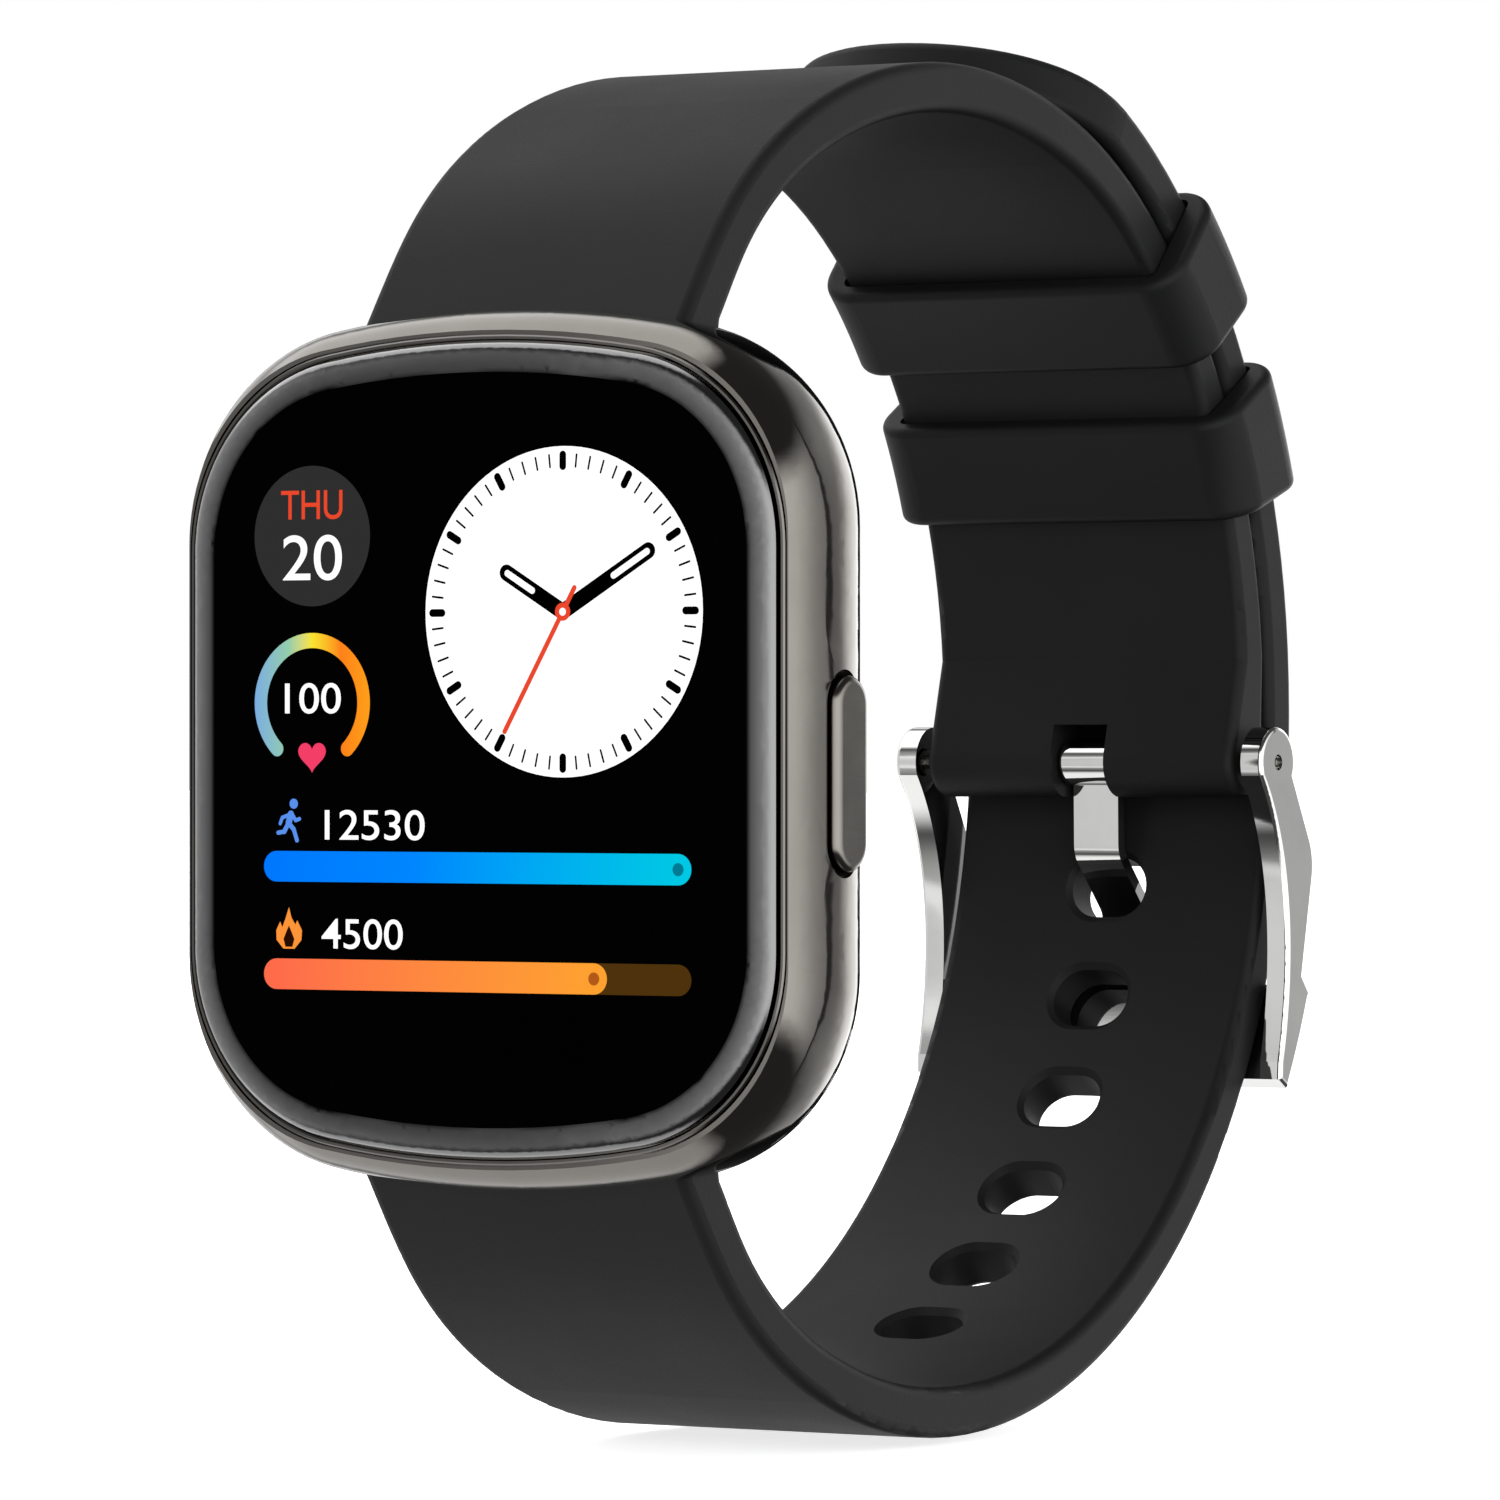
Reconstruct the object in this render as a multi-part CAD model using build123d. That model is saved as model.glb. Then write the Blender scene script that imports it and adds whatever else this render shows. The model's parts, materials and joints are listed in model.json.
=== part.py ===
from build123d import *
import math
import os

# Smartwatch, closed in its buckled loop. Millimetres. X to the three o'clock side, Z to twelve
# o'clock, Y from the display towards the wrist. The origin is the middle of the sensor window.

# --- case ---
CASE_HALF_W = 18.92
CASE_HALF_H = 22.6
CASE_CORNER = 10.6
CASE_END_RADIUS = 60.0
CASE_FRONT_Y = -9.95
CASE_WIDEST_Y = -6.9
CASE_BACK_Y = -1.2
FRONT_DROP_W = 0.58
FRONT_DROP_H = 1.2
BACK_DROP_W = 2.0
BACK_DROP_H = 2.1
SWELL_POWER = 3.0
POCKET_HALF_W = 18.26
POCKET_HALF_H = 21.23
POCKET_CORNER = 10.3
POCKET_FLOOR_Y = -9.35
DISPLAY_BAY_HALF_W = 16.5
DISPLAY_BAY_HALF_H = 19.3
DISPLAY_BAY_CORNER = 8.6
DISPLAY_BAY_FLOOR_Y = -7.9
CAVITY_HALF_W = 14.9
CAVITY_HALF_H = 16.3
CAVITY_CORNER = 4.5
BACK_RECESS_HALF_W = 15.6
BACK_RECESS_HALF_H = 17.1
BACK_RECESS_CORNER = 5.2
BACK_RECESS_FLOOR_Y = -2.05

# --- strap notches in the two ends of the case ---
NOTCH_HALF_W = 10.3
NOTCH_FLOOR_Z = 17.75
NOTCH_FRONT_Y = -7.4
LUG_BAR_Y = -5.1
LUG_BAR_Z = 20.1

# --- glass, ring and display ---
GLASS_HALF_W = 17.77
GLASS_HALF_H = 20.74
GLASS_CORNER = 9.9
GLASS_END_RADIUS = 58.5
GLASS_EDGE_INSET = 1.5
GLASS_FRONT_Y = -10.6
GLASS_EDGE_Y = -10.2
GLASS_BACK_Y = -9.55
RING_GAP = 0.12
RING_WIDTH = 0.29
RING_FRONT_Y = -10.06
RING_CHAMFER = 0.08
PANEL_HALF_W = 16.2
PANEL_HALF_H = 18.9
PANEL_CORNER = 8.3
PANEL_FRONT_Y = -9.5
PANEL_BACK_Y = -8.1

# --- strap ---
STRAP_HALF_W = 10.0
STRAP_THICK = 2.7
STRAP_EDGE = 0.6
LOOP_Y = 21.3
LOOP_RADIUS = 35.35
STACK_RADIUS = 33.5
STACK_SHIFT = (-1.014, 2.614)
LAYER_STEP = 3.1
UPPER_BRIDGE_RADIUS = 26.8
LOWER_BRIDGE_RADIUS = 43.5
FLARE_ANGLE = 112.0
FLARE_MIDDLE_ANGLE = 130.0
FLARE_MIDDLE_RADII = (33.35, 36.2)
ROOT_INNER = (-2.75, 21.9)
ROOT_OUTER = (-7.12, 20.9)
STACK_LOW_ANGLE = 4.5
BAND_END_ANGLE = 79.1
TIP_ROUND_ANGLE = 16.0
KNUCKLE_RADIUS = 2.0
BUCKLE_BAR = (52.84, -0.7)
SLOT_COUNT = 6
SLOT_FIRST_ANGLE = -13.3
SLOT_PITCH_ANGLE = 11.1
SLOT_WIDTH = 4.8
SLOT_LENGTH = 3.46
SLOT_BEVEL = 0.3
TONGUE_CUT_HALF_W = 1.75
TONGUE_CUT_TOP_Z = 1.45

# --- keepers ---
KEEPER_LOW_ANGLES = (19.1, 36.6)
KEEPER_SWEEP = 11.0
KEEPER_GAP = 0.15
KEEPER_WALL_IN = 0.85
KEEPER_WALL_OUT = 0.95
KEEPER_WALL_SIDE = 1.5
KEEPER_CORNER = 2.3
KEEPER_OPENING_CORNER = 0.5
KEEPER_END_ROUND = 0.5

# --- buckle ---
ARM_IN_X = 10.65
ARM_OUT_X = 12.0
BRIDGE_RADIUS_IN = 36.86
BRIDGE_RADIUS_OUT = 37.9
BRIDGE_TOP_ANGLE = -21.2
BRIDGE_LOW_ANGLE = -30.3
TONGUE_HALF_W = 1.45
TONGUE_THICK = 0.7
TONGUE_EYE_RADIUS = 1.33
TONGUE_EYE_BORE = 0.82

# --- spring bars ---
BAR_TUBE_RADIUS = 0.75
BAR_TUBE_BORE = 0.55
BAR_TUBE_HALF = 9.1
BAR_ROD_RADIUS = 0.5
BAR_COLLAR_RADIUS = 0.72
BAR_COLLAR_IN_X = 10.15
BAR_COLLAR_OUT_X = 10.28
BAR_TIP_RADIUS = 0.4
LUG_TIP_END = 11.22
BUCKLE_TIP_END = 11.55
BAR_BORE = 0.8
BAR_SPRING_WIRE = 0.09
BAR_SPRING_RADIUS = 0.38
BAR_SPRING_HALF = 5.6
BAR_SPRING_PITCH = 1.0
BAR_ROD_START_X = 5.75
PIN_HOLE_RADIUS = 0.45
LUG_HOLE_END = 12.9

# --- side button ---
BUTTON_Y = -5.4
BUTTON_Z = -1.2
BUTTON_LENGTH = 9.9
BUTTON_WIDTH = 3.0
BUTTON_TOP_X = 19.42
BUTTON_BASE_X = 18.65
BUTTON_POCKET_X = 18.2
BUTTON_POCKET_GAP = 0.3
STEM_RADIUS = 0.6
STEM_BORE = 0.66
STEM_END_X = 14.35
STEM_GROOVES = ((16.4, 16.8, 0.44), (14.6, 14.82, 0.4))
BUTTON_ROUND = 0.42

# --- back ---
COVER_HALF_W = 15.5
COVER_HALF_H = 17.0
COVER_FRONT_Y = -2.0
COVER_BACK_Y = -0.9
COVER_CHAMFER = 0.2
DOME_RADIUS = 11.5
DOME_BACK_Y = -0.25
DOME_ROUND = 0.5
WINDOW_RADIUS = 8.5
WINDOW_FRONT_Y = -0.7
WINDOW_ROUND = 0.3
SENSOR_BAY_RADIUS = 7.5
SCREW_X = 12.5
SCREW_Z = 13.9
SCREW_RADIUS = 0.5
SCREW_BORE = 0.52
SCREW_END_Y = -5.6
SCREW_BORE_END_Y = -6.15
SCREW_HEAD_RADIUS = 1.0
SCREW_HEAD_Y = -1.38
SCREW_HEAD_BACK_Y = -0.95
SCREW_CROSS = (1.2, 0.4, 0.25)
COVER_HOLE_RADIUS = 0.6
COVER_SINK_RADIUS = 1.05
COVER_SINK_Y = -1.4
CONTACT_X = 2.0
CONTACT_Z = -13.6
CONTACT_RADIUS = 0.9
MAGNET_X = 6.0
MAGNET_RADIUS = 1.3
MAGNET_FRONT_Y = -2.4
MAGNET_BACK_Y = -1.3

# --- inside ---
BOARD_HALF_W = 14.5
BOARD_HALF_H = 15.9
BOARD_FRONT_Y = -3.4
BOARD_BACK_Y = -2.7
CHASSIS_FRONT_Y = -7.85
CHASSIS_BACK_Y = -7.35
CHASSIS_SLOT = (-5, 5, -14.4)
BOSS_RADIUS = 1.35
BOSS_CLEAR = 1.7
BATTERY_X = (-13.6, 3.4)
BATTERY_Y = (-7.25, -3.6)
BATTERY_Z = (-11.2, 12.4)
BATTERY_ROUND = 0.8
CAN_X = (4.4, 12.2)
CAN_Z = (2.0, 12.6)
CAN_FRONT_Y = -5.6
CAN_WALL = 0.2
CAN_ROUND = 0.5
CHIPS = ((8.3, 9.2, 5.0, 4.6), (8.3, 4.4, 3.2, 2.6), (-8.4, 14.2, 2.6, 2.0))
CHIP_FRONT_Y = -4.4
FLEX_HALF_W = 3.0
FLEX_THICK = 0.12
FLEX_LOW_Z = -15.35
FLEX_FRONT_Z = -11.5
FLEX_BACK_Z = -12.5
SWITCH_X = (11.3, 13.5)
SWITCH_Y = (-6.9, -3.9)
SWITCH_HALF_Z = 1.7
SWITCH_KEY_RADIUS = 0.5
SWITCH_KEY_END_X = 13.85
SENSOR_FRONT_Y = -2.4
SENSOR_FACE_Y = -2.0
SENSOR_CHIP_Y = (-1.98, -1.4)
LED_PLACE = (3.4, 1.3)
LED_HALF = (0.8, 0.9)
PHOTODIODE_HALF = 1.5
MOTOR_X = 8.8
MOTOR_Z = -8.8
MOTOR_RADIUS = 4.0
MOTOR_FRONT_Y = -6.6
MOTOR_BACK_Y = -3.45
MOTOR_WALL = 0.25
MOTOR_PIN_RADIUS = 0.3
ROTOR_BORE = 0.35
ROTOR_HUB = 0.9
ROTOR_GAP = 0.5
FIT = 0.05
SKIN = 0.02


def polar(centre, radius, degrees):
    """Point of the side view at an angle about a centre."""
    angle = math.radians(degrees)
    return (centre[0] + radius * math.cos(angle), centre[1] + radius * math.sin(angle))


def arc_edge(piece, offset):
    """One arc of a chain, moved outward from the strap's middle line by offset."""
    centre, radius, start, end = piece
    size = radius + offset
    points = [polar(centre, size, angle) for angle in (start, (start + end) / 2, end)]
    return ThreePointArc(*points)


def direction(start, end):
    """Angle in degrees from one side-view point to another."""
    return math.degrees(math.atan2(end[1] - start[1], end[0] - start[0]))


def direction_vector(start, end):
    """Unit vector from one side-view point to another."""
    return polar((0, 0), 1, direction(start, end))


def bridge(centre_a, radius_a, centre_b, radius_b, radius, side):
    """Centre of the arc that touches two circles from inside or outside, on the given side."""
    reach_a = abs(radius_a - radius)
    reach_b = abs(radius_b - radius)
    gap = math.dist(centre_a, centre_b)
    along = (reach_a**2 - reach_b**2 + gap**2) / (2 * gap)
    across = side * math.sqrt(reach_a**2 - along**2)
    ux = (centre_b[0] - centre_a[0]) / gap
    uz = (centre_b[1] - centre_a[1]) / gap
    return (centre_a[0] + along * ux - across * uz, centre_a[1] + along * uz + across * ux)


LOOP = (LOOP_Y, 0.0)
STACK = (LOOP_Y + STACK_SHIFT[0], STACK_SHIFT[1])
UPPER_BRIDGE = bridge(LOOP, LOOP_RADIUS, STACK, STACK_RADIUS, UPPER_BRIDGE_RADIUS, -1)
LOWER_BRIDGE = bridge(LOOP, LOOP_RADIUS, STACK, STACK_RADIUS + LAYER_STEP, LOWER_BRIDGE_RADIUS, 1)


def layer_chain(step, start, end):
    """Arcs from the buckle over the top of the loop; step lifts them one layer out."""
    low = direction(STACK, UPPER_BRIDGE)
    high = direction(LOOP, UPPER_BRIDGE)
    return [
        (STACK, STACK_RADIUS + step, start, low),
        (UPPER_BRIDGE, UPPER_BRIDGE_RADIUS + step, low, high),
        (LOOP, LOOP_RADIUS + step, high, end),
    ]


def hole_strap_chain():
    """Arcs of the hole strap from its lug under the loop to its free tip."""
    low = direction(LOWER_BRIDGE, LOOP)
    high = direction(LOWER_BRIDGE, STACK)
    start = [(LOOP, LOOP_RADIUS, -FLARE_ANGLE, low), (LOWER_BRIDGE, LOWER_BRIDGE_RADIUS, low, high)]
    return start + layer_chain(LAYER_STEP, high, BAND_END_ANGLE)


def band(chain, half_width, thick=STRAP_THICK):
    """Solid strap of constant thickness along a chain of arcs."""
    inner = [arc_edge(piece, -thick / 2) for piece in chain]
    outer = [arc_edge(piece, thick / 2) for piece in chain]
    ends = [Line(inner[0] @ 0, outer[0] @ 0), Line(inner[-1] @ 1, outer[-1] @ 1)]
    return side_solid(make_face(inner + outer + ends), half_width)


def side_solid(face, half_width):
    """Pull a side-view face out to both sides."""
    return extrude(Plane.YZ * face, amount=half_width, both=True)


def x_cylinder(radius, x_from, x_to, y, z):
    """Cylinder along X between two X values."""
    return Pos((x_from + x_to) / 2, y, z) * Rot(0, 90, 0) * Cylinder(radius, abs(x_to - x_from))


def y_cylinder(radius, y_from, y_to, x, z):
    """Cylinder along Y between two Y values."""
    return Pos(x, (y_from + y_to) / 2, z) * Rot(90, 0, 0) * Cylinder(radius, abs(y_to - y_from))


def block(x_from, x_to, y_from, y_to, z_from, z_to):
    """Box between limits."""
    middle = ((x_from + x_to) / 2, (y_from + y_to) / 2, (z_from + z_to) / 2)
    return Pos(*middle) * Box(x_to - x_from, y_to - y_from, z_to - z_from)


def outline(half_w, half_h, corner, end_radius):
    """Front-view outline: straight sides, round corners and gently bowed ends."""
    centre_x = half_w - corner
    end_z = half_h - end_radius
    centre_z = end_z + math.sqrt((end_radius - corner) ** 2 - centre_x**2)
    lean = direction((0, end_z), (centre_x, centre_z))
    meet = polar((0, end_z), end_radius, lean)
    swing = polar((centre_x, centre_z), corner, lean / 2)
    right = Line((half_w, -centre_z), (half_w, centre_z))
    corner_arc = ThreePointArc((half_w, centre_z), swing, meet)
    top = ThreePointArc(meet, (0, half_h), (-meet[0], meet[1]))
    quarter = mirror(corner_arc, Plane.YZ)
    lower = [mirror(edge, Plane.XZ) for edge in (corner_arc, top, quarter)]
    left = mirror(right, Plane.YZ)
    return make_face([right, corner_arc, top, quarter, left] + lower)


def front_slab(face, y_from, y_to):
    """Front-view face given depth between two Y values."""
    return extrude(Pos(0, y_to, 0) * (Plane.XZ * face), amount=y_to - y_from)


def drop_at(y, front_drop, back_drop):
    """How far the case side has curved in from its widest line."""
    if y < CASE_WIDEST_Y:
        share = (CASE_WIDEST_Y - y) / (CASE_WIDEST_Y - CASE_FRONT_Y)
        return front_drop * share**SWELL_POWER
    share = (y - CASE_WIDEST_Y) / (CASE_BACK_Y - CASE_WIDEST_Y)
    return back_drop * share**SWELL_POWER


def case_section(y):
    """Case outline placed at one depth."""
    narrow = drop_at(y, FRONT_DROP_W, BACK_DROP_W)
    short = drop_at(y, FRONT_DROP_H, BACK_DROP_H)
    face = outline(CASE_HALF_W - narrow, CASE_HALF_H - short, CASE_CORNER - narrow, CASE_END_RADIUS)
    return Pos(0, y, 0) * (Plane.XZ * face)


def case_shell():
    """Outer body lofted through its swelling sections."""
    front = [CASE_FRONT_Y + (CASE_WIDEST_Y - CASE_FRONT_Y) * share for share in (0, 0.2, 0.5, 1)]
    back = [CASE_WIDEST_Y + (CASE_BACK_Y - CASE_WIDEST_Y) * share for share in (0.4, 0.7, 0.87, 1)]
    return loft([case_section(y) for y in front + back])


def strap_notch(end):
    """Space cut in one end of the case for the strap; end is +1 at the top, -1 below."""
    floor = end * NOTCH_FLOOR_Z
    far = end * (CASE_HALF_H + 1)
    return block(-NOTCH_HALF_W, NOTCH_HALF_W, NOTCH_FRONT_Y, 1, min(floor, far), max(floor, far))


def screw_places():
    """The four cover screws."""
    return [(x * SCREW_X, z * SCREW_Z) for x in (-1, 1) for z in (-1, 1)]


def button_face(grow):
    """Pill outline of the side button, grown all round."""
    pill = SlotOverall(BUTTON_LENGTH + 2 * grow, BUTTON_WIDTH + 2 * grow, rotation=90)
    return Plane.YZ * Pos(BUTTON_Y, BUTTON_Z) * pill


def boss_web(x, z):
    """Web that ties a screw boss to the corner of the cavity."""
    xs = sorted((x, math.copysign(CAVITY_HALF_W + 1, x)))
    zs = sorted((z, math.copysign(CAVITY_HALF_H + 1, z)))
    return block(*xs, CHASSIS_BACK_Y, BACK_RECESS_FLOOR_Y, *zs)


def make_case_frame():
    """Metal body with the display bay, the inside, the strap notches and the button seat."""
    body = case_shell()
    pocket = outline(POCKET_HALF_W, POCKET_HALF_H, POCKET_CORNER, GLASS_END_RADIUS)
    bay_size = (DISPLAY_BAY_HALF_W, DISPLAY_BAY_HALF_H, DISPLAY_BAY_CORNER)
    bay = outline(*bay_size, GLASS_END_RADIUS)
    cavity = RectangleRounded(2 * CAVITY_HALF_W, 2 * CAVITY_HALF_H, CAVITY_CORNER)
    recess = RectangleRounded(2 * BACK_RECESS_HALF_W, 2 * BACK_RECESS_HALF_H, BACK_RECESS_CORNER)
    inside = front_slab(cavity, DISPLAY_BAY_FLOOR_Y - 1, 0)
    for x, z in screw_places():
        inside -= y_cylinder(BOSS_RADIUS, CHASSIS_BACK_Y, BACK_RECESS_FLOOR_Y, x, z)
        inside -= boss_web(x, z)
    body -= front_slab(pocket, CASE_FRONT_Y - 1, POCKET_FLOOR_Y)
    body -= front_slab(bay, CASE_FRONT_Y, DISPLAY_BAY_FLOOR_Y)
    body -= inside
    body -= front_slab(recess, BACK_RECESS_FLOOR_Y, 0)
    for end in (-1, 1):
        body -= strap_notch(end)
        for side in (-1, 1):
            hole = (side * (NOTCH_HALF_W - 1), side * LUG_HOLE_END)
            body -= x_cylinder(PIN_HOLE_RADIUS, *hole, LUG_BAR_Y, end * LUG_BAR_Z)
    for x, z in screw_places():
        body -= y_cylinder(SCREW_BORE, SCREW_BORE_END_Y, 0, x, z)
    body -= extrude(Pos(BUTTON_POCKET_X, 0, 0) * button_face(BUTTON_POCKET_GAP), amount=3)
    body -= x_cylinder(STEM_BORE, CAVITY_HALF_W - 1, CASE_HALF_W, BUTTON_Y, BUTTON_Z)
    return body


def make_trim_ring():
    """Bright ring round the glass."""
    inner = GLASS_HALF_W + RING_GAP
    tall = GLASS_HALF_H + RING_GAP
    corner = GLASS_CORNER + RING_GAP
    hole = outline(inner, tall, corner, GLASS_END_RADIUS)
    rim = outline(inner + RING_WIDTH, tall + RING_WIDTH, corner + RING_WIDTH, GLASS_END_RADIUS)
    ring = front_slab(rim - hole, RING_FRONT_Y, POCKET_FLOOR_Y)
    return chamfer(ring.faces().sort_by(Axis.Y)[0].edges(), RING_CHAMFER)


def make_cover_glass():
    """Cover glass with rolled edges."""
    plate = outline(GLASS_HALF_W, GLASS_HALF_H, GLASS_CORNER, GLASS_END_RADIUS)
    base = front_slab(plate, GLASS_EDGE_Y, GLASS_BACK_Y)
    rise = GLASS_EDGE_Y - GLASS_FRONT_Y
    sections = []
    for share in (0, 0.3, 0.6, 0.85, 1):
        inset = GLASS_EDGE_INSET * (1 - math.cos(share * math.pi / 2))
        depth = GLASS_EDGE_Y - rise * math.sin(share * math.pi / 2)
        sizes = (GLASS_HALF_W - inset, GLASS_HALF_H - inset, GLASS_CORNER - inset)
        sections.append(Pos(0, depth, 0) * (Plane.XZ * outline(*sizes, GLASS_END_RADIUS)))
    return base + loft(sections)


def make_glass_gasket():
    """Adhesive frame under the rim of the glass."""
    outside = (GLASS_HALF_W - 0.1, GLASS_HALF_H - 0.1, GLASS_CORNER - 0.1)
    inside = (DISPLAY_BAY_HALF_W + 0.3, DISPLAY_BAY_HALF_H + 0.2, DISPLAY_BAY_CORNER + 0.2)
    frame = outline(*outside, GLASS_END_RADIUS) - outline(*inside, GLASS_END_RADIUS)
    return front_slab(frame, GLASS_BACK_Y + SKIN, POCKET_FLOOR_Y - SKIN)


def make_display_panel():
    """Display module bonded behind the glass."""
    plate = outline(PANEL_HALF_W, PANEL_HALF_H, PANEL_CORNER, GLASS_END_RADIUS)
    return front_slab(plate, PANEL_FRONT_Y, PANEL_BACK_Y)


def inner_plate(half_w, half_h, y_from, y_to):
    """Rectangular plate with round cut-outs for the screw bosses."""
    plate = front_slab(RectangleRounded(2 * half_w, 2 * half_h, 3.0), y_from, y_to)
    for x, z in screw_places():
        reach_x = sorted((x - math.copysign(BOSS_CLEAR, x), x + math.copysign(4, x)))
        reach_z = sorted((z - math.copysign(BOSS_CLEAR, z), z + math.copysign(4, z)))
        plate -= block(*reach_x, y_from - 1, y_to + 1, *reach_z)
    return plate


def make_chassis_plate():
    """Stamped plate between the display and the battery, open below for the display cable."""
    plate = inner_plate(CAVITY_HALF_W - 0.2, CAVITY_HALF_H - 0.3, CHASSIS_FRONT_Y, CHASSIS_BACK_Y)
    left, right, top = CHASSIS_SLOT
    return plate - block(left, right, CHASSIS_FRONT_Y - 1, CHASSIS_BACK_Y + 1, -CAVITY_HALF_H, top)


def make_battery_cell():
    """Pouch cell on the left of the case."""
    pouch = block(*BATTERY_X, *BATTERY_Y, *BATTERY_Z)
    return fillet(pouch.edges().filter_by(Axis.Z), BATTERY_ROUND)


def make_main_board():
    """Circuit board over the back of the cell."""
    return inner_plate(BOARD_HALF_W, BOARD_HALF_H, BOARD_FRONT_Y, BOARD_BACK_Y)


def make_shield_can():
    """Pressed can over the radio."""
    can = block(*CAN_X, CAN_FRONT_Y, BOARD_FRONT_Y - SKIN, *CAN_Z)
    can = fillet(can.edges().filter_by(Axis.Y), CAN_ROUND)
    inner_x = (CAN_X[0] + CAN_WALL, CAN_X[1] - CAN_WALL)
    inner_z = (CAN_Z[0] + CAN_WALL, CAN_Z[1] - CAN_WALL)
    return can - block(*inner_x, CAN_FRONT_Y + CAN_WALL, BOARD_FRONT_Y, *inner_z)


def make_board_chips():
    """Chips under the can and beside it."""
    depth = (CHIP_FRONT_Y, BOARD_FRONT_Y - SKIN)
    chips = []
    for x, z, wide, tall in CHIPS:
        chips.append(block(x - wide / 2, x + wide / 2, *depth, z - tall / 2, z + tall / 2))
    return chips


def make_display_flex():
    """Flat cable folded from the back of the panel to the board."""
    wide = (-FLEX_HALF_W, FLEX_HALF_W)
    near = PANEL_BACK_Y + SKIN
    far = BOARD_FRONT_Y - SKIN
    front = block(*wide, near, near + FLEX_THICK, FLEX_LOW_Z, FLEX_FRONT_Z)
    fold = block(*wide, near, far, FLEX_LOW_Z, FLEX_LOW_Z + FLEX_THICK)
    back = block(*wide, far - FLEX_THICK, far, FLEX_LOW_Z, FLEX_BACK_Z)
    return front + fold + back


def make_motor_can():
    """Closed can of the vibration motor with the pin its rotor turns on."""
    can = y_cylinder(MOTOR_RADIUS, MOTOR_FRONT_Y, MOTOR_BACK_Y, MOTOR_X, MOTOR_Z)
    hollow = (MOTOR_FRONT_Y + MOTOR_WALL, MOTOR_BACK_Y - MOTOR_WALL, MOTOR_X, MOTOR_Z)
    pin = (MOTOR_FRONT_Y + MOTOR_WALL / 2, MOTOR_BACK_Y - MOTOR_WALL / 2, MOTOR_X, MOTOR_Z)
    can -= y_cylinder(MOTOR_RADIUS - MOTOR_WALL, *hollow)
    return can + y_cylinder(MOTOR_PIN_RADIUS, *pin)


def make_motor_rotor():
    """Half-disc weight of the vibration motor."""
    front = MOTOR_FRONT_Y + ROTOR_GAP
    back = MOTOR_BACK_Y - ROTOR_GAP
    disc = y_cylinder(MOTOR_RADIUS - ROTOR_GAP, front, back, MOTOR_X, MOTOR_Z)
    half = block(MOTOR_X - 5, MOTOR_X + 5, front - 1, back + 1, MOTOR_Z - 5, MOTOR_Z)
    hub = y_cylinder(ROTOR_HUB, front, back, MOTOR_X, MOTOR_Z)
    return disc - half + hub - y_cylinder(ROTOR_BORE, front - 1, back + 1, MOTOR_X, MOTOR_Z)


def stem_ring(inner, outer, x_from, x_to):
    """Ring round the button stem."""
    ring = x_cylinder(outer, x_from, x_to, BUTTON_Y, BUTTON_Z)
    return ring - x_cylinder(inner, x_from - 1, x_to + 1, BUTTON_Y, BUTTON_Z)


def make_side_button():
    """Button cap with its stem, grooved for the seal and the clip."""
    cap = extrude(Pos(BUTTON_BASE_X, 0, 0) * button_face(0), amount=BUTTON_TOP_X - BUTTON_BASE_X)
    cap = fillet(cap.faces().sort_by(Axis.X)[-1].edges(), BUTTON_ROUND)
    stem = x_cylinder(STEM_RADIUS, STEM_END_X, BUTTON_BASE_X + 0.1, BUTTON_Y, BUTTON_Z)
    for x_from, x_to, core in STEM_GROOVES:
        stem -= stem_ring(core, STEM_RADIUS + 0.2, x_from, x_to)
    return cap + stem


def make_button_seal():
    """Rubber ring that keeps water out along the stem."""
    x_from, x_to, core = STEM_GROOVES[0]
    return stem_ring(core + SKIN, STEM_BORE - SKIN, x_from + SKIN, x_to - SKIN)


def make_button_clip():
    """Clip that holds the button in."""
    x_from, x_to, core = STEM_GROOVES[1]
    return stem_ring(core + SKIN, 2 * STEM_RADIUS, x_from + SKIN, x_to - SKIN)


def make_side_switch():
    """Switch the button presses."""
    low, high = BUTTON_Z - SWITCH_HALF_Z, BUTTON_Z + SWITCH_HALF_Z
    body = block(*SWITCH_X, *SWITCH_Y, low, high)
    return body + x_cylinder(SWITCH_KEY_RADIUS, SWITCH_X[1], SWITCH_KEY_END_X, BUTTON_Y, BUTTON_Z)


def make_back_cover():
    """Plastic back with its dome, sensor opening, contact holes and magnet pockets."""
    plate = RectangleRounded(2 * COVER_HALF_W, 2 * COVER_HALF_H, BACK_RECESS_CORNER - 0.1)
    cover = front_slab(plate, COVER_FRONT_Y, COVER_BACK_Y)
    cover = chamfer(cover.faces().sort_by(Axis.Y)[-1].edges(), COVER_CHAMFER)
    dome = y_cylinder(DOME_RADIUS, COVER_FRONT_Y, DOME_BACK_Y, 0, 0)
    cover += fillet(dome.faces().sort_by(Axis.Y)[-1].edges(), DOME_ROUND)
    cover -= y_cylinder(SENSOR_BAY_RADIUS, COVER_FRONT_Y - 1, 1, 0, 0)
    cover -= y_cylinder(WINDOW_RADIUS + FIT, WINDOW_FRONT_Y - SKIN, 1, 0, 0)
    for side in (-1, 1):
        cover -= y_cylinder(CONTACT_RADIUS + FIT, -3, 1, side * CONTACT_X, CONTACT_Z)
        pocket = (MAGNET_FRONT_Y - 1, MAGNET_BACK_Y + FIT, side * MAGNET_X, CONTACT_Z)
        cover -= y_cylinder(MAGNET_RADIUS + FIT, *pocket)
    for x, z in screw_places():
        cover -= y_cylinder(COVER_HOLE_RADIUS, -3, 1, x, z)
        cover -= y_cylinder(COVER_SINK_RADIUS, COVER_SINK_Y, 1, x, z)
    return cover


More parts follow.
